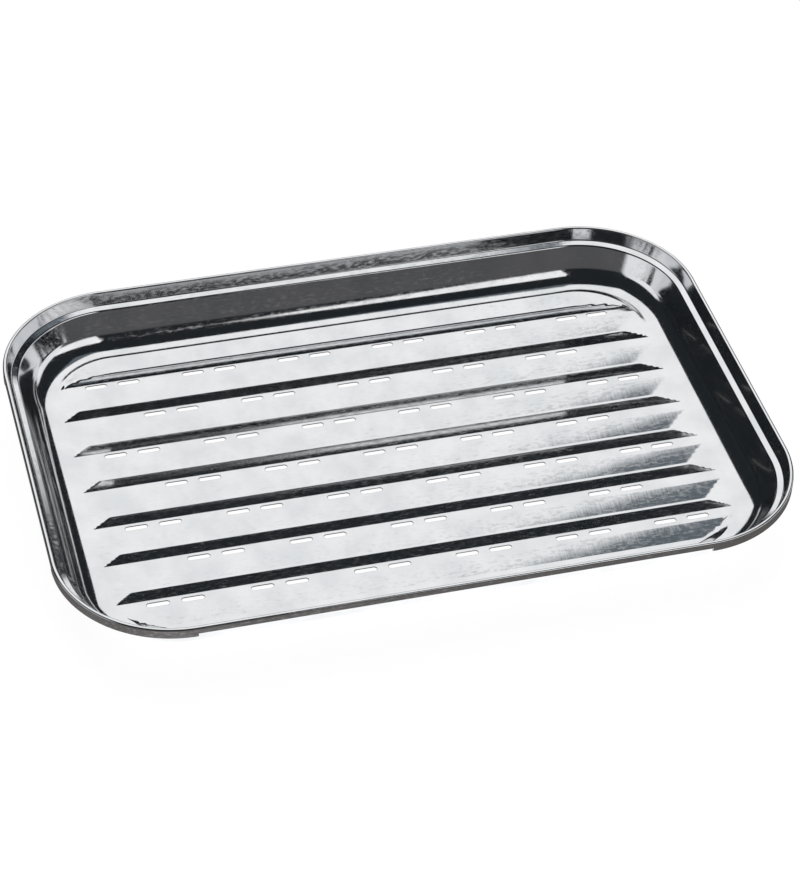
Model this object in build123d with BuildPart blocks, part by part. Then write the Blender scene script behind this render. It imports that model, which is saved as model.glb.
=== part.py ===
from build123d import *
import os
from math import cos, radians, sin

# Shallow pressed-steel tray with a ribbed, slotted floor.
# Millimetres. +Z is up, +X runs along the ribs, and the origin is on the resting plane,
# under the centre of the tray.

# Driving dimensions
length = 345.0            # outside of the rim, along X
width = 240.0             # outside of the rim, along Y
height = 27.5             # resting plane to the top of the rim
rim_radius = 55.0         # plan radius of the rim's outer edge at the corners
sheet = 0.5               # steel thickness

groove_depth = 2.6        # from the rib tops down to the groove bottoms
rib_count = 7
rib_pitch = 25.6
rib_top = 5.0             # width of a rib's top between the lines where its slopes start
groove_flat = 1.0         # width of the flat along the bottom of a groove
rib_edge_radius = 8.0     # bend along each edge of a rib's top

slot_length = 10.5
slot_width = 2.6
slot_spacing = 15.9       # between the two slots of a pair
pair_pitch = 47.75        # between pairs
pairs_in_odd_rib = 6
pairs_in_even_rib = 5

hem_height = 4.0          # outer face of the rolled hem, along the sides
corner_hem_height = 5.6   # the hem hangs lower round the corners, where the blank has more steel
foot_inset = 22.9         # from the rim's outer edge in to where the wall's foot meets the floor
pan_length = 295.0        # ribbed area at the level of the rib tops
pan_width = 193.8
pan_corner_radius = 31.0
side_run = 3.0            # width of the slope along the ribbed area's long sides

# Levels
rib_level = sheet + groove_depth
rim_level = height - hem_height / 2

# Floor layout
slope_run = (rib_pitch - rib_top - groove_flat) / 2
outer_groove = rib_count * rib_pitch / 2
floor_length = length - 2 * foot_inset
floor_width = width - 2 * foot_inset
floor_corner_radius = rim_radius - foot_inset
rib_end = pan_length / 2 - slope_run

# The sheet's visible skin in section, from the wall's straight stretch out to the hem's lip:
# (distance in from the rim's outer edge, distance above the rim's mid-level).
foot_corner = (14.4, rib_level - rim_level)
ledge_inner = (7.0, -5.4)
ledge_outer = (3.8, -4.3)
hem_inner = (1.9, hem_height / 2)
hem_outer = (0.0, hem_height / 2)
foot_bend = 12.9
ledge_inner_bend = 1.3
ledge_outer_bend = 0.9
hem_bend = 0.85
lip_bend = 0.8
lip_return = 1.5          # how far the lip turns in under the hem

os.makedirs("parts", exist_ok=True)


def between(start, end, share):
    """The point that lies the given share of the way from start to end."""
    return (start[0] + (end[0] - start[0]) * share, start[1] + (end[1] - start[1]) * share)


def polar(radius, angle):
    """A horizontal vector of the given length and direction in degrees."""
    return Vector(radius * cos(radians(angle)), radius * sin(radians(angle)), 0)


# The section is cut across its straight stretches, so that neighbours meet face to face.
wall_cut = between(foot_corner, ledge_inner, 0.8)
hem_cut = between(ledge_outer, hem_inner, 0.35)
foot_end = (foot_inset, foot_corner[1])


def hem_points(lip_height):
    lip_level = hem_height / 2 - lip_height
    return [hem_cut, hem_inner, hem_outer, (0.0, lip_level), (lip_return, lip_level)]


section_paths = {
    "wall": ([foot_end, foot_corner, wall_cut], [foot_bend]),
    "ledge": ([wall_cut, ledge_inner, ledge_outer, hem_cut], [ledge_inner_bend, ledge_outer_bend]),
    "hem": (hem_points(hem_height), [hem_bend, hem_bend, lip_bend]),
    "corner_hem": (hem_points(corner_hem_height), [hem_bend, hem_bend, lip_bend]),
}


def section(plane, path_name):
    """The steel's section along one stretch: its skin, thickened on the hidden side."""
    points, bends = section_paths[path_name]
    with BuildSketch(plane) as profile:
        with BuildLine():
            skin = FilletPolyline(*points, radius=bends, mode=Mode.PRIVATE)
            offset(skin, amount=sheet, side=Side.RIGHT, kind=Kind.TANGENT)
        make_face()
    return profile.sketch


def wall_plane(direction, half_size, along):
    """Section plane on one side: its x axis points inwards and its normal runs along the side."""
    tangent = polar(1, direction + 90)
    corner = polar(half_size, direction) + tangent * along + Vector(0, 0, rim_level)
    return Plane(origin=corner, x_dir=polar(-1, direction), z_dir=tangent)


sides = [
    ("right", 0, length / 2, width / 2, "back_right"),
    ("back", 90, width / 2, length / 2, "back_left"),
    ("left", 180, length / 2, width / 2, "front_left"),
    ("front", 270, width / 2, length / 2, "front_right"),
]

for side_name, direction, half_size, half_span, corner_name in sides:
    straight = half_span - rim_radius
    start = wall_plane(direction, half_size, -straight)
    end = wall_plane(direction, half_size, straight)
    corner_centre = end.origin + end.x_dir * rim_radius

    for region in ("wall", "ledge", "hem"):
        with BuildPart() as side:
            extrude(section(start, region), amount=2 * straight, dir=start.z_dir)
        side.part.label = f"{region}_{side_name}"
        export_step(side.part, f"parts/{side.part.label}.step")

        with BuildPart() as corner:
            profile = section(end, "corner_hem" if region == "hem" else region)
            revolve(profile, axis=Axis(corner_centre, (0, 0, 1)), revolution_arc=90)
        corner.part.label = f"{region}_{corner_name}"
        export_step(corner.part, f"parts/{corner.part.label}.step")

# Cavity over the floor: the pressed pan, less its ribs.
with BuildPart() as cavity:
    with BuildSketch(Plane.XY.offset(rib_level)):
        RectangleRounded(pan_length, pan_width, pan_corner_radius)
    with BuildSketch(Plane.XY.offset(sheet)):
        RectangleRounded(
            pan_length - 2 * slope_run,
            pan_width - 2 * side_run,
            pan_corner_radius - (slope_run + side_run) / 2,
        )
    loft(ruled=True)
    for index in range(rib_count):
        rib_y = (index - (rib_count - 1) / 2) * rib_pitch
        with BuildSketch(Plane.YZ.offset(-pan_length / 2)):
            with BuildLine():
                half_base = rib_top / 2 + slope_run
                Polyline(
                    (rib_y - half_base, sheet),
                    (rib_y - rib_top / 2, rib_level),
                    (rib_y + rib_top / 2, rib_level),
                    (rib_y + half_base, sheet),
                    close=True,
                )
            make_face()
            fillet(vertices().group_by(Axis.Y)[-1], rib_edge_radius)
        extrude(amount=pan_length, mode=Mode.SUBTRACT)

# Everything under the sheet's hidden face
with BuildPart() as underside:
    with BuildSketch():
        RectangleRounded(floor_length, floor_width, floor_corner_radius)
    extrude(amount=rib_level - sheet)
    add(cavity.part.moved(Location((0, 0, -sheet))), mode=Mode.SUBTRACT)

# The whole floor, with its slots
with BuildPart() as floor:
    with BuildSketch():
        RectangleRounded(floor_length, floor_width, floor_corner_radius)
    extrude(amount=rib_level)
    add(cavity.part, mode=Mode.SUBTRACT)
    add(underside.part, mode=Mode.SUBTRACT)
    for index in range(rib_count):
        rib_y = ((rib_count - 1) / 2 - index) * rib_pitch
        pairs = pairs_in_odd_rib if index % 2 == 0 else pairs_in_even_rib
        with BuildSketch(Plane.XY):
            with Locations((0, rib_y)), GridLocations(pair_pitch, 1, pairs, 1):
                with GridLocations(slot_spacing, 1, 2, 1):
                    SlotOverall(slot_length, slot_width)
        extrude(amount=rib_level, mode=Mode.SUBTRACT)


def floor_piece(label, x_range, y_range):
    """The stretch of the floor inside a box on plan, as its own node."""
    with BuildPart() as piece:
        add(floor.part)
        with Locations((sum(x_range) / 2, sum(y_range) / 2, rib_level / 2)):
            Box(
                x_range[1] - x_range[0],
                y_range[1] - y_range[0],
                2 * rib_level,
                mode=Mode.INTERSECT,
            )
    piece.part.label = label
    export_step(piece.part, f"parts/{label}.step")


# Ribs, counted from the back, each between the middles of the grooves beside it
for index in range(rib_count):
    rib_y = ((rib_count - 1) / 2 - index) * rib_pitch
    floor_piece(
        f"rib_{index + 1}",
        (-rib_end, rib_end),
        (rib_y - rib_pitch / 2, rib_y + rib_pitch / 2),
    )

# The slopes up from the outer grooves to the long walls
floor_piece("floor_edge_back", (-rib_end, rib_end), (outer_groove, floor_width / 2))
floor_piece("floor_edge_front", (-rib_end, rib_end), (-floor_width / 2, -outer_groove))

# The two ends: where the grooves run out, and the flat border beyond them
pan_end = pan_length / 2
floor_piece("groove_ends_right", (rib_end, pan_end), (-floor_width / 2, floor_width / 2))
floor_piece("groove_ends_left", (-pan_end, -rib_end), (-floor_width / 2, floor_width / 2))
floor_piece("border_right", (pan_end, floor_length / 2), (-floor_width / 2, floor_width / 2))
floor_piece("border_left", (-floor_length / 2, -pan_end), (-floor_width / 2, floor_width / 2))
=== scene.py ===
from math import atan2, ceil, cos, degrees, pi, radians, sin, sqrt, tan

import bpy
import numpy as np
from mathutils import Matrix, Vector


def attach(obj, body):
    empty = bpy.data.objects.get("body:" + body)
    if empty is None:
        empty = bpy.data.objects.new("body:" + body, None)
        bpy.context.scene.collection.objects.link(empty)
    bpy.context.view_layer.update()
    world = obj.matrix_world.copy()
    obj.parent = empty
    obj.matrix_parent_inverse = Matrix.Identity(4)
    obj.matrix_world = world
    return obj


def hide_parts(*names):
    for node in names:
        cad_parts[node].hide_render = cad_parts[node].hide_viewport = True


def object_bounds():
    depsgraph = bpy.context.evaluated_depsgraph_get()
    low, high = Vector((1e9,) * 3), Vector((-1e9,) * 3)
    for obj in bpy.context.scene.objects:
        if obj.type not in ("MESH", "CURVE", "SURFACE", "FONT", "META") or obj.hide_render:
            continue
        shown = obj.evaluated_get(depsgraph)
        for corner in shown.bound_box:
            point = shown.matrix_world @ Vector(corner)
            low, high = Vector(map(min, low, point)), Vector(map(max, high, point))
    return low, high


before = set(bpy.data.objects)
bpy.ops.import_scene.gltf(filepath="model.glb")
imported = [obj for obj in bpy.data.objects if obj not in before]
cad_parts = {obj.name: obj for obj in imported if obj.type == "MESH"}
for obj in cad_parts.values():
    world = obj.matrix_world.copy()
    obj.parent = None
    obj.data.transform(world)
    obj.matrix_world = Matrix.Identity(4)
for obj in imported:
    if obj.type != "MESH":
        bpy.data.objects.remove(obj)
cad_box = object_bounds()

# Shallow pressed-steel tray with a ribbed, slotted floor. Lengths are millimetres until a mesh
# or an object is placed, and an inset is measured inwards from the rim's outer edge.
MM = 0.001

half_length = cad_box[1][0] / MM
half_width = cad_box[1][1] / MM
sheet = 0.5
rim_radius = 55.0
hem_height = 4.0
corner_hem_height = 5.6
rim_level = cad_box[1][2] / MM - hem_height / 2

# The floor's ribs and slots
rib_level = 3.1
groove_depth = 2.6
rib_count = 7
rib_pitch = 25.6
half_rib_top = 2.5
slope_run = 9.8
slot_length = 10.5
slot_width = 2.6
slot_spacing = 15.9
pair_pitch = 47.75
pairs_in_odd_rib = 6
pairs_in_even_rib = 5
rib_bend = 1.0            # half the width of the rounding along a rib's top edge
groove_bend = 0.35        # half the width of the rounding along a groove
pan_bend = 0.6            # half the width of the rounding along the ribbed area's edge
slope_hollow = 0.1        # how much steeper a slope is at its foot than halfway up
hip_softness = 0.12       # how far the rounding spreads where two slopes meet at a hip

# The floor's outline and the ribbed area's edge on plan
foot_inset = 22.9
floor_half_length = half_length - foot_inset
floor_half_width = half_width - foot_inset
floor_radius = rim_radius - foot_inset
pan_half_length = 147.5
pan_half_width = 96.9
pan_radius = 31.0
side_run = 3.0            # width of the slope along the front
back_run = slope_run      # and along the back
rib_end = pan_half_length - slope_run
outer_groove = rib_count * rib_pitch / 2

# The skin in section: (distance in from the rim's outer edge, height above the rim's mid-level)
foot_corner = (14.4, rib_level - rim_level)
ledge_inner = (7.0, -5.4)
ledge_outer = (3.8, -4.3)
hem_inner = (1.9, hem_height / 2)
hem_outer = (0.0, hem_height / 2)
foot_bend = 12.9
ledge_inner_bend = 1.3
ledge_outer_bend = 0.9
hem_bend = 0.85
lip_bend = 0.8
lip_return = 1.5

# Mesh fineness
bend_step = 6.0           # degrees of a bend between two rows of points
corner_steps = 45
side_steps = 12
groove_end_steps = 14
border_steps = 10
coarse_step = 3.2         # furthest apart that two lines across a rib lie
fine_step = 1.7           # and nearer its ends, where the grooves run out
fine_beyond = 110.0


# ---------------------------------------------------------------- mesh assembly

class Shell:
    """Points and faces of one closed piece, with a shading normal at every face corner."""

    def __init__(self):
        self.points = []
        self.faces = []
        self.normals = []

    def point(self, position):
        self.points.append(tuple(position))
        return len(self.points) - 1

    def face(self, corners, normals=None):
        """Adds a face; without normals it is shaded flat."""
        if normals is None:
            a, b, c = (np.array(self.points[k]) for k in (corners[0], corners[1], corners[2]))
            flat = np.cross(b - a, c - a)
            if np.linalg.norm(flat) < 1e-12:
                flat = np.cross(c - a, np.array(self.points[corners[-1]]) - a)
            flat = flat / max(np.linalg.norm(flat), 1e-12)
            normals = [tuple(flat)] * len(corners)
        self.faces.append(tuple(corners))
        self.normals.extend(tuple(n) for n in normals)

    def piece(self, name, material):
        """Turns the shell into an object that stands for the CAD node of the same name."""
        mesh = bpy.data.meshes.new(name)
        mesh.from_pydata([tuple(c * MM for c in p) for p in self.points], [], self.faces)
        mesh.shade_smooth()
        mesh.normals_split_custom_set(self.normals)
        mesh.materials.append(material)
        piece = bpy.data.objects.new(f"{name}_steel", mesh)
        bpy.context.scene.collection.objects.link(piece)
        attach(piece, "root")
        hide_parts(name)


# ---------------------------------------------------------------- rim and walls

def between(start, end, share):
    return (start[0] + (end[0] - start[0]) * share, start[1] + (end[1] - start[1]) * share)


def turned(vector, angle):
    return (
        vector[0] * cos(angle) - vector[1] * sin(angle),
        vector[0] * sin(angle) + vector[1] * cos(angle),
    )


def bent_path(points, bends):
    """Rows along a bent section: (inset, height, normal inwards, normal upwards)."""
    rows = []

    def add(position, heading):
        rows.append((position[0], position[1], heading[1], -heading[0]))

    headings = []
    for a, b in zip(points, points[1:]):
        run = sqrt((b[0] - a[0]) ** 2 + (b[1] - a[1]) ** 2)
        headings.append(((b[0] - a[0]) / run, (b[1] - a[1]) / run))
    add(points[0], headings[0])
    for corner, radius, before, after in zip(points[1:-1], bends, headings, headings[1:]):
        turn = atan2(
            before[0] * after[1] - before[1] * after[0],
            before[0] * after[0] + before[1] * after[1],
        )
        sign = 1 if turn > 0 else -1
        reach = radius * tan(abs(turn) / 2)
        start = (corner[0] - before[0] * reach, corner[1] - before[1] * reach)
        centre = (start[0] - sign * radius * before[1], start[1] + sign * radius * before[0])
        steps = max(3, ceil(degrees(abs(turn)) / bend_step))
        for k in range(steps + 1):
            heading = turned(before, turn * k / steps)
            position = (
                centre[0] + sign * radius * heading[1],
                centre[1] - sign * radius * heading[0],
            )
            add(position, heading)
    add(points[-1], headings[-1])
    return rows


def hem_points(lip_height):
    lip_level = hem_height / 2 - lip_height
    return [hem_cut, hem_inner, hem_outer, (0.0, lip_level), (lip_return, lip_level)]


wall_cut = between(foot_corner, ledge_inner, 0.8)
hem_cut = between(ledge_outer, hem_inner, 0.35)
foot_end = (foot_inset, foot_corner[1])
sections = {
    "wall": bent_path([foot_end, foot_corner, wall_cut], [foot_bend]),
    "ledge": bent_path(
        [wall_cut, ledge_inner, ledge_outer, hem_cut], [ledge_inner_bend, ledge_outer_bend]
    ),
    "hem": bent_path(hem_points(hem_height), [hem_bend, hem_bend, lip_bend]),
    "corner_hem": bent_path(hem_points(corner_hem_height), [hem_bend, hem_bend, lip_bend]),
}


def swept_sheet(stations, rows):
    """A closed strip of sheet: the section carried along the stations.

    A station is a point on the rim's outer edge on plan and the direction inwards from it.
    """
    shell = Shell()
    skin, back, normals = [], [], []
    for (x, y), (ix, iy) in stations:
        skin_row, back_row, normal_row = [], [], []
        for inset, height, n_in, n_up in rows:
            normal = (n_in * ix, n_in * iy, n_up)
            place = (x + inset * ix, y + inset * iy, rim_level + height)
            skin_row.append(shell.point(place))
            back_row.append(shell.point(p - sheet * n for p, n in zip(place, normal)))
            normal_row.append(normal)
        skin.append(skin_row)
        back.append(back_row)
        normals.append(normal_row)
    last = len(rows) - 1
    for a in range(len(stations) - 1):
        b = a + 1
        for k in range(last):
            spots = ((a, k), (a, k + 1), (b, k + 1), (b, k))
            shell.face([skin[s][r] for s, r in spots], [normals[s][r] for s, r in spots])
            spots = spots[::-1]
            shell.face(
                [back[s][r] for s, r in spots],
                [tuple(-c for c in normals[s][r]) for s, r in spots],
            )
        shell.face([skin[a][0], skin[b][0], back[b][0], back[a][0]])
        shell.face([skin[b][last], skin[a][last], back[a][last], back[b][last]])
    end = len(stations) - 1
    for k in range(last):
        shell.face([skin[0][k + 1], skin[0][k], back[0][k], back[0][k + 1]])
        shell.face([skin[end][k], skin[end][k + 1], back[end][k + 1], back[end][k]])
    return shell


def side_stations(direction, half_size, straight):
    """Stations along one straight side, anticlockwise seen from above."""
    outward = (cos(direction), sin(direction))
    along = (-outward[1], outward[0])
    stations = []
    for k in range(side_steps + 1):
        shift = straight * (2 * k / side_steps - 1)
        place = [half_size * o + shift * t for o, t in zip(outward, along)]
        stations.append((place, (-outward[0], -outward[1])))
    return stations


def corner_stations(direction, centre):
    """Stations round the corner that follows a side, anticlockwise seen from above."""
    stations = []
    for k in range(corner_steps + 1):
        angle = direction + (pi / 2) * k / corner_steps
        outward = (cos(angle), sin(angle))
        place = [c + rim_radius * o for c, o in zip(centre, outward)]
        stations.append((place, (-outward[0], -outward[1])))
    return stations


def build_rim(material):
    sides = [
        ("right", 0, half_length, half_width, "back_right", (1, 1)),
        ("back", 90, half_width, half_length, "back_left", (-1, 1)),
        ("left", 180, half_length, half_width, "front_left", (-1, -1)),
        ("front", 270, half_width, half_length, "front_right", (1, -1)),
    ]
    for side, direction, half_size, half_span, corner, signs in sides:
        angle = radians(direction)
        centre = (
            signs[0] * (half_length - rim_radius),
            signs[1] * (half_width - rim_radius),
        )
        straight = side_stations(angle, half_size, half_span - rim_radius)
        curve = corner_stations(angle, centre)
        for region in ("wall", "ledge", "hem"):
            swept_sheet(straight, sections[region]).piece(f"{region}_{side}", material)
            rows = sections["corner_hem" if region == "hem" else region]
            swept_sheet(curve, rows).piece(f"{region}_{corner}", material)


# ---------------------------------------------------------------- ribbed floor

def eased(distance, bend):
    """The distance past an edge, or zero before it, rounded within the bend of the edge."""
    inside = (distance + bend) ** 2 / (4 * bend)
    return np.where(distance > bend, distance, np.where(distance > -bend, inside, 0.0))


def pan_share(x, y):
    """How far down the slope round the ribbed area a point is: 0 at its top, 1 at its foot."""
    long_side_run = np.where(y > 0, back_run, side_run)
    shrink = (slope_run + long_side_run) / 2
    drift = (slope_run - long_side_run) / 2
    dx = np.abs(x) - (pan_half_length - pan_radius)
    dy = np.abs(y) - (pan_half_width - pan_radius)
    square = 2 * drift ** 2 - shrink ** 2
    linear = 2 * drift * (dx - dy) + 2 * pan_radius * shrink
    constant = dx ** 2 + dy ** 2 - pan_radius ** 2
    root = np.sqrt(np.maximum(linear ** 2 - 4 * square * constant, 0))
    corner = (root - linear) / (2 * square)
    straight = np.minimum((pan_radius - dx) / slope_run, (pan_radius - dy) / long_side_run)
    in_corner = (dx + drift * corner > 0) & (dy - drift * corner > 0)
    return np.where(in_corner, corner, straight)


def floor_height(x, y):
    """Height of the floor's upper face above the resting plane."""
    slope = groove_depth / slope_run
    nearest = np.clip(np.round(y / rib_pitch), -(rib_count // 2), rib_count // 2)
    aside = np.abs(y - nearest * rib_pitch) - half_rib_top
    run = eased(aside, rib_bend) - eased(aside - slope_run, groove_bend)
    groove = slope * run * (1 + slope_hollow * (run / slope_run - 1))
    pan = slope * eased(pan_share(x, y) * slope_run, pan_bend)
    low = np.minimum(groove, pan)
    depth = (groove + pan - np.sqrt((groove - pan) ** 2 + (hip_softness * low) ** 2)) / 2
    return rib_level - depth


def floor_normal(x, y):
    step = 0.02
    across = (floor_height(x + step, y) - floor_height(x - step, y)) / (2 * step)
    along = (floor_height(x, y + step) - floor_height(x, y - step)) / (2 * step)
    normal = np.array([-across, -along, 1.0])
    return tuple(normal / np.linalg.norm(normal))


def floor_edge(x):
    """Half the floor's width at a distance from its middle."""
    past = max(abs(x) - (floor_half_length - floor_radius), 0)
    return floor_half_width - floor_radius + sqrt(max(floor_radius ** 2 - past ** 2, 0))


# Lines along one rib, from its middle outwards, closest together where the sheet bends
slot_cell_half_width = 2.2
slot_cell_rows = 4        # rows of cells across the patch that a slot takes up
half_rib_lines = [
    0, slot_cell_half_width / 2, slot_cell_half_width, 2.6, 3.0, 3.5, 5.2, 7.4, 9.6, 11.2,
    11.9, 12.15, 12.35, 12.6, rib_pitch / 2,
]
rib_lines = [-v for v in half_rib_lines[:0:-1]] + half_rib_lines
edge_lines = [
    0, 0.8, 1.8, 2.8, 3.5, 3.9, 4.2, 4.5, 4.9, 5.5, 6.2, 6.8, 7.1, 7.3,
    floor_half_width - outer_groove,
]
slot_cell_lines = [-7.95, -6.3, -4.8, -3.2, -1.6, 0, 1.6, 3.2, 4.8, 6.3, 7.95]
punch_width = 0.22        # edge of a slot drawn down by the punch
punch_drop = 0.12
punch_lean = (0.75, 0.66)  # inward and upward parts of the normal along that edge


def slot_places(index):
    """Slot centres along a rib."""
    pairs = pairs_in_odd_rib if index % 2 == 0 else pairs_in_even_rib
    middles = [(k - (pairs - 1) / 2) * pair_pitch for k in range(pairs)]
    return [m + side * slot_spacing / 2 for m in middles for side in (-1, 1)]


def filled(lines):
    """The lines in order, with more between them where they are far apart."""
    lines = sorted({round(v, 4) for v in lines})
    result = [lines[0]]
    for a, b in zip(lines, lines[1:]):
        most = fine_step if max(abs(a), abs(b)) > fine_beyond else coarse_step
        steps = max(1, ceil((b - a) / most - 1e-6))
        result += [round(a + (b - a) * k / steps, 4) for k in range(1, steps + 1)]
    return result


def rib_x_lines(places):
    """Lines across a rib, with a patch of cells round each slot."""
    return filled([-rib_end, rib_end] + [p + v for p in places for v in slot_cell_lines])


def slot_outline(grow):
    """Points and directions round a slot, anticlockwise from its lower right, about its middle."""
    reach = slot_length / 2 - slot_width / 2
    radius = slot_width / 2 + grow
    outline = []

    def arc(centre, first, last, steps, skip):
        for k in range(skip, steps + 1):
            angle = radians(first + (last - first) * k / steps)
            direction = (cos(angle), sin(angle))
            outline.append(
                ((centre + radius * direction[0], radius * direction[1]), direction)
            )

    def straight(start, side):
        for k in range(1, 6):
            outline.append(((start * (1 - k / 3), side * radius), (0.0, side)))

    arc(reach, -45, 90, 6, 0)
    straight(reach, 1.0)
    arc(-reach, 90, 270, 8, 0)
    straight(-reach, -1.0)
    arc(reach, -90, -45, 2, 0)
    return outline[:-1]


def floor_sheet(x_lines, y_lines, place, slots=()):
    """A closed sheet over a grid on plan, pierced by slots given as (x, y) centres.

    place(x, y) says where a line's y really lies at x, for pieces with a curved edge.
    """
    shell = Shell()
    rows = []
    for x in x_lines:
        row = []
        for y_line in y_lines:
            y = place(x, y_line)
            z = float(floor_height(x, y))
            top, under = shell.point((x, y, z)), shell.point((x, y, z - sheet))
            row.append((top, under, floor_normal(x, y)))
        rows.append(row)

    pierced = set()
    for slot_x, slot_y in slots:
        i = x_lines.index(round(slot_x + slot_cell_lines[0], 4))
        j = y_lines.index(round(slot_y - slot_cell_half_width, 4))
        for di in range(len(slot_cell_lines) - 1):
            for dj in range(slot_cell_rows):
                pierced.add((i + di, j + dj))
        pierce(shell, rows, i, j, slot_x, slot_y)

    for i in range(len(x_lines) - 1):
        for j in range(len(y_lines) - 1):
            if (i, j) in pierced:
                continue
            spots = [rows[i][j], rows[i + 1][j], rows[i + 1][j + 1], rows[i][j + 1]]
            shell.face([s[0] for s in spots], [s[2] for s in spots])
            spots.reverse()
            shell.face([s[1] for s in spots], [[-c for c in s[2]] for s in spots])

    def edge(a, b):
        shell.face([a[1], b[1], b[0], a[0]])

    for i in range(len(x_lines) - 1):
        edge(rows[i][0], rows[i + 1][0])
        edge(rows[i + 1][-1], rows[i][-1])
    for j in range(len(y_lines) - 1):
        edge(rows[0][j + 1], rows[0][j])
        edge(rows[-1][j], rows[-1][j + 1])
    return shell


def pierce(shell, rows, i, j, slot_x, slot_y):
    """Joins the grid round one slot to the slot's drawn-down edge and its cut wall."""
    right, top = i + len(slot_cell_lines) - 1, j + slot_cell_rows
    inward, upward = punch_lean
    loop = [rows[right][k] for k in range(j, top + 1)]
    loop += [rows[k][top] for k in range(right - 1, i - 1, -1)]
    loop += [rows[i][k] for k in range(top - 1, j - 1, -1)]
    loop += [rows[k][j] for k in range(i + 1, right)]
    shoulder, lip, foot = [], [], []
    for ((sx, sy), _), ((ex, ey), (dx, dy)) in zip(slot_outline(punch_width), slot_outline(0.0)):
        level = float(floor_height(slot_x + sx, slot_y + sy))
        up = floor_normal(slot_x + sx, slot_y + sy)
        shoulder.append((shell.point((slot_x + sx, slot_y + sy, level)), up))
        lip.append((
            shell.point((slot_x + ex, slot_y + ey, level - punch_drop)),
            (-inward * dx, -inward * dy, upward),
            (-dx, -dy, 0.0),
        ))
        foot.append((shell.point((slot_x + ex, slot_y + ey, level - sheet)), (-dx, -dy, 0.0)))
    count = len(loop)
    for a in range(count):
        b = (a + 1) % count
        shell.face(
            [loop[a][0], loop[b][0], shoulder[b][0], shoulder[a][0]],
            [loop[a][2], loop[b][2], shoulder[b][1], shoulder[a][1]],
        )
        shell.face(
            [shoulder[a][0], shoulder[b][0], lip[b][0], lip[a][0]],
            [shoulder[a][1], shoulder[b][1], lip[b][1], lip[a][1]],
        )
        shell.face(
            [lip[a][0], lip[b][0], foot[b][0], foot[a][0]],
            [lip[a][2], lip[b][2], foot[b][1], foot[a][1]],
        )
        shell.face(
            [foot[a][0], foot[b][0], loop[b][1], loop[a][1]],
            [(0, 0, -1), (0, 0, -1)] + [[-c for c in loop[k][2]] for k in (b, a)],
        )


def straight_place(x, y):
    return y


# How far from the middle the lines along the ends stay straight, before they close up
straight_at_groove_ends = 64.0
straight_at_borders = 30.0


def squeezed_place(keep_within, reference):
    """Lines further out than keep_within close up to follow the floor's curved edge."""
    full = reference - keep_within

    def place(x, y):
        past = abs(y) - keep_within
        if past <= 0:
            return y
        reach = keep_within + past * (floor_edge(x) - keep_within) / full
        return reach if y > 0 else -reach

    return place


def build_floor(material):
    for index in range(rib_count):
        rib_y = ((rib_count - 1) / 2 - index) * rib_pitch
        places = slot_places(index)
        x_lines = rib_x_lines(places)
        y_lines = [round(rib_y + v, 4) for v in rib_lines]
        slots = [(p, rib_y) for p in places]
        floor_sheet(x_lines, y_lines, straight_place, slots).piece(f"rib_{index + 1}", material)

    x_lines = rib_x_lines(slot_places(0))
    place = squeezed_place(outer_groove, floor_half_width)
    upper = [round(outer_groove + v, 4) for v in edge_lines]
    lower = [-v for v in upper[::-1]]
    floor_sheet(x_lines, upper, place).piece("floor_edge_back", material)
    floor_sheet(x_lines, lower, place).piece("floor_edge_front", material)

    # Lines of the whole width where the ribs stop, at their real places there
    across = []
    for index in range(rib_count):
        rib_y = (index - (rib_count - 1) / 2) * rib_pitch
        across += [round(rib_y + v, 4) for v in rib_lines]
    edge = [round(place(rib_end, v), 4) for v in upper]
    across = sorted(set(across) | set(edge) | {-v for v in edge})
    end_place = squeezed_place(straight_at_groove_ends, floor_edge(rib_end))
    border_across = sorted({round(end_place(pan_half_length, v), 4) for v in across})
    border_place = squeezed_place(straight_at_borders, floor_edge(pan_half_length))

    end_lines = [
        rib_end + slope_run * k / groove_end_steps for k in range(groove_end_steps + 1)
    ]
    first = np.arcsin((pan_half_length - floor_half_length + floor_radius) / floor_radius)
    border_lines = []
    for k in range(border_steps + 1):
        angle = first + (pi / 2 - first) * k / border_steps
        border_lines.append(floor_half_length - floor_radius + floor_radius * sin(angle))
    for side, sign in (("right", 1), ("left", -1)):
        for name, lines, widths, where in (
            ("groove_ends", end_lines, across, end_place),
            ("border", border_lines, border_across, border_place),
        ):
            lines = sorted(sign * v for v in lines)
            floor_sheet(lines, widths, where).piece(f"{name}_{side}", material)


# ---------------------------------------------------------------- steel

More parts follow.
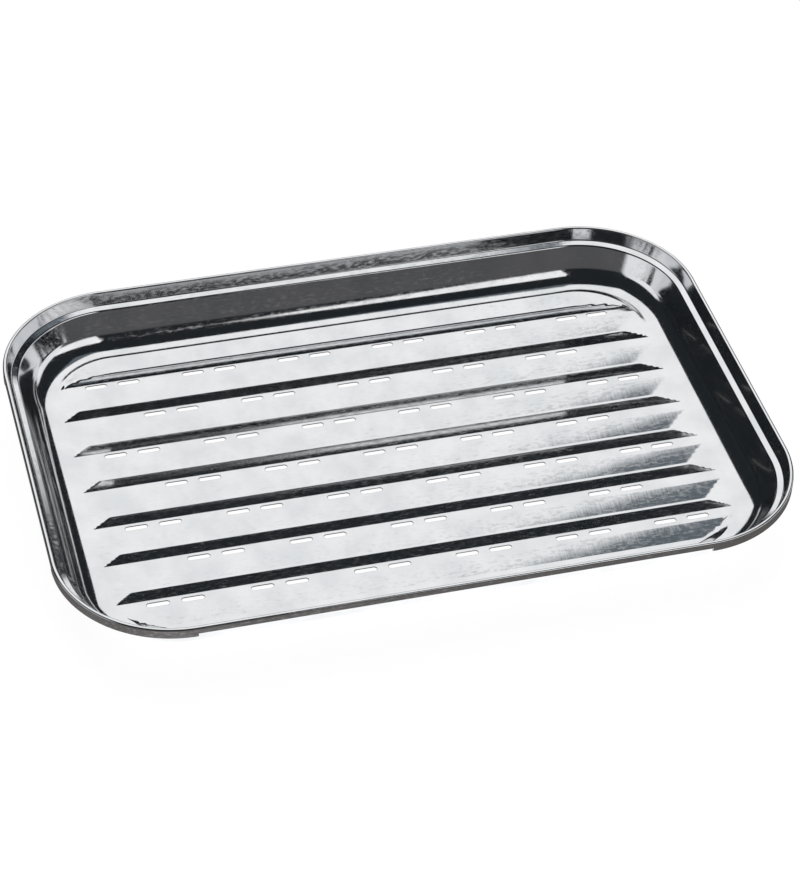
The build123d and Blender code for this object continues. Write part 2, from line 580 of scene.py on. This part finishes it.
def steel_material():
    """Bright rolled stainless sheet: nearly a mirror, with rolling lines and handling marks."""
    material = bpy.data.materials.new("steel")
    material.use_nodes = True
    nodes, links = material.node_tree.nodes, material.node_tree.links
    shader = nodes["Principled BSDF"]
    shader.inputs["Metallic"].default_value = 1.0

    coordinates = nodes.new("ShaderNodeTexCoord")

    def noise(scale, stretch, detail, label):
        mapping = nodes.new("ShaderNodeMapping")
        mapping.inputs["Scale"].default_value = stretch
        texture = nodes.new("ShaderNodeTexNoise")
        texture.label = label
        texture.inputs["Scale"].default_value = scale
        texture.inputs["Detail"].default_value = detail
        links.new(coordinates.outputs["Object"], mapping.inputs["Vector"])
        links.new(mapping.outputs["Vector"], texture.inputs["Vector"])
        return texture.outputs["Fac"]

    def ranged(value, low, high, to_low, to_high):
        node = nodes.new("ShaderNodeMapRange")
        node.inputs["From Min"].default_value = low
        node.inputs["From Max"].default_value = high
        node.inputs["To Min"].default_value = to_low
        node.inputs["To Max"].default_value = to_high
        links.new(value, node.inputs["Value"])
        return node.outputs["Result"]

    def bump(height, distance, before=None):
        node = nodes.new("ShaderNodeBump")
        node.inputs["Distance"].default_value = distance
        links.new(height, node.inputs["Height"])
        if before is not None:
            links.new(before, node.inputs["Normal"])
        return node.outputs["Normal"]

    lines = noise(700.0, (1.0, 0.04, 0.04), 3.0, "lines across the ribs")
    wave = noise(28.0, (1.0, 1.0, 1.0), 1.0, "slow waves of the pressed sheet")
    marks = noise(900.0, (0.35, 1.0, 1.0), 2.0, "handling marks")
    mottle = noise(60.0, (1.0, 1.0, 1.0), 4.0, "mottled finish")

    tone = nodes.new("ShaderNodeMix")
    tone.data_type = "RGBA"
    tone.inputs["A"].default_value = (0.70, 0.71, 0.72, 1.0)
    tone.inputs["B"].default_value = (0.79, 0.79, 0.80, 1.0)
    links.new(ranged(mottle, 0.35, 0.65, 0.0, 1.0), tone.inputs["Factor"])
    links.new(tone.outputs["Result"], shader.inputs["Base Color"])
    links.new(ranged(marks, 0.45, 0.8, 0.07, 0.2), shader.inputs["Roughness"])

    waved = bump(wave, 0.00008)
    lined = bump(lines, 0.000006, waved)
    links.new(lined, shader.inputs["Normal"])
    return material


# ---------------------------------------------------------------- studio

def build_stage():
    """A plain pale floor under the tray."""
    reach = 4.0
    mesh = bpy.data.meshes.new("stage_floor")
    corners = [(-reach, -reach, 0), (reach, -reach, 0), (reach, reach, 0), (-reach, reach, 0)]
    mesh.from_pydata(corners, [], [(0, 1, 2, 3)])
    floor = bpy.data.objects.new("stage_floor", mesh)
    bpy.context.scene.collection.objects.link(floor)
    material = bpy.data.materials.new("pale_floor")
    material.use_nodes = True
    shader = material.node_tree.nodes["Principled BSDF"]
    shader.inputs["Base Color"].default_value = (0.30, 0.30, 0.30, 1.0)
    shader.inputs["Roughness"].default_value = 0.9
    shader.inputs["Specular IOR Level"].default_value = 0.0
    shader.inputs["Emission Color"].default_value = (1.0, 1.0, 1.0, 1.0)
    shader.inputs["Emission Strength"].default_value = 0.93
    mesh.materials.append(material)
    floor.visible_glossy = False


def build_world():
    """A studio seen in the steel: a white panel behind and overhead, dark towards the camera."""
    world = bpy.data.worlds.new("studio")
    bpy.context.scene.world = world
    world.use_nodes = True
    nodes, links = world.node_tree.nodes, world.node_tree.links
    nodes.clear()

    def math(operation, first, second=0.0):
        node = nodes.new("ShaderNodeMath")
        node.operation = operation
        for socket, value in zip(node.inputs, (first, second)):
            if isinstance(value, (int, float)):
                socket.default_value = value
            else:
                links.new(value, socket)
        return node.outputs[0]

    def band(value, low, high, soft):
        """One between low and high, falling to zero over the soft width outside them."""
        rise = ramp(value, low - soft, low)
        fall = ramp(value, high, high + soft)
        return math("MULTIPLY", rise, math("SUBTRACT", 1.0, fall))

    def ramp(value, low, high):
        node = nodes.new("ShaderNodeMapRange")
        node.interpolation_type = "SMOOTHSTEP"
        node.inputs["From Min"].default_value = low
        node.inputs["From Max"].default_value = high
        links.new(value, node.inputs["Value"])
        return node.outputs["Result"]

    def layer(colour_below, mask, tint):
        mix = nodes.new("ShaderNodeMix")
        mix.data_type = "RGBA"
        mix.inputs["B"].default_value = (*tint, 1.0)
        links.new(mask, mix.inputs["Factor"])
        if isinstance(colour_below, tuple):
            mix.inputs["A"].default_value = (*colour_below, 1.0)
        else:
            links.new(colour_below, mix.inputs["A"])
        return mix.outputs["Result"]

    coordinates = nodes.new("ShaderNodeTexCoord")
    split = nodes.new("ShaderNodeSeparateXYZ")
    links.new(coordinates.outputs["Generated"], split.inputs["Vector"])
    x, y, z = split.outputs
    turn = math("MULTIPLY", math("ARCTAN2", z, y), 180 / pi)

    dark = (0.018, 0.021, 0.024)
    cool_grey = (0.13, 0.155, 0.175)
    panel_white = (1.04, 1.05, 1.06)
    softbox_white = (1.1, 1.1, 1.1)
    dim_room = (0.10, 0.10, 0.105)
    strip_white = (0.95, 0.96, 0.98)
    under_grey = (0.13, 0.122, 0.118)
    table_white = (1.25, 1.25, 1.25)

    # turn is 0 at the horizon behind the tray, 90 overhead, 180 at the horizon by the camera
    # The white panel behind and overhead: its right edge leans, with a dim grey area beside it
    beyond_edge = math(
        "SUBTRACT", x, math("ADD", math("MULTIPLY", y, 0.56), math("MULTIPLY", z, 0.14))
    )
    above_horizon = ramp(turn, 20.0, 24.0)
    panel = math("MULTIPLY", above_horizon, math("SUBTRACT", 1.0, ramp(turn, 79.0, 82.0)))
    panel = math("MULTIPLY", panel, ramp(x, -0.31, -0.27))
    inside_edge = math("SUBTRACT", 1.0, ramp(beyond_edge, -0.01, 0.012))
    beside = math("MULTIPLY", band(turn, 58.0, 84.0, 4.0), band(x, 0.2, 0.42, 0.03))
    sky = layer(dark, beside, cool_grey)
    sky = layer(sky, math("MULTIPLY", panel, inside_edge), panel_white)
    # A softbox over the camera's right shoulder: level along its upper edge, wider to the right
    spread = math("MINIMUM", math("MULTIPLY", math("SUBTRACT", x, 0.16), 200.0), 24.0)
    off_centre = math("ABSOLUTE", math("SUBTRACT", turn, 132.0))
    softbox = ramp(math("SUBTRACT", spread, off_centre), -1.5, 2.0)
    softbox = math("MULTIPLY", softbox, ramp(turn, 122.5, 125.5))
    sky = layer(sky, softbox, softbox_white)
    # The dim room by the camera, bright strips far out at the sides, and what lies below
    sky = layer(sky, ramp(turn, 150.0, 160.0), dim_room)
    sides = math("MULTIPLY", ramp(math("ABSOLUTE", x), 0.82, 0.88), band(z, 0.06, 0.34, 0.04))
    sky = layer(sky, sides, strip_white)
    below = math("SUBTRACT", 1.0, ramp(z, -0.04, 0.0))
    sky = layer(sky, below, under_grey)
    table = math("SUBTRACT", 1.0, ramp(z, -0.8, -0.7))
    sky = layer(sky, table, table_white)

    # The backdrop behind the tray is plain white
    seen = nodes.new("ShaderNodeLightPath")
    sky = layer(sky, seen.outputs["Is Camera Ray"], (1.0, 1.0, 1.0))
    background = nodes.new("ShaderNodeBackground")
    output = nodes.new("ShaderNodeOutputWorld")
    links.new(sky, background.inputs["Color"])
    links.new(background.outputs["Background"], output.inputs["Surface"])


def build_camera():
    """Looks down at the tray from in front and a little to the left, a long way off."""
    azimuth, elevation, roll = radians(16.322), radians(41.167), radians(2.198)
    distance, right_shift, up_shift = 1339.876, 3.786, -11.356
    sensor = 36.0             # along the frame's longer side, its height
    lens = 117.2245

    forward = Vector((
        cos(elevation) * sin(azimuth), cos(elevation) * cos(azimuth), -sin(elevation)
    ))
    level = Vector((cos(azimuth), -sin(azimuth), 0))
    upright = level.cross(forward)
    right = cos(roll) * level + sin(roll) * upright
    up = cos(roll) * upright - sin(roll) * level
    place = Vector((0, 0, rim_level)) - distance * forward + right_shift * right + up_shift * up

    data = bpy.data.cameras.new("camera")
    data.sensor_width = sensor
    data.lens = lens
    data.clip_end = 50.0
    camera = bpy.data.objects.new("camera", data)
    turn = Matrix((right, up, -forward)).transposed().to_4x4()
    camera.matrix_world = Matrix.Translation(place * MM) @ turn
    bpy.context.scene.collection.objects.link(camera)
    bpy.context.scene.camera = camera


build_camera()
build_stage()
build_world()
steel = steel_material()
build_rim(steel)
build_floor(steel)
bpy.context.scene.view_settings.view_transform = "Standard"
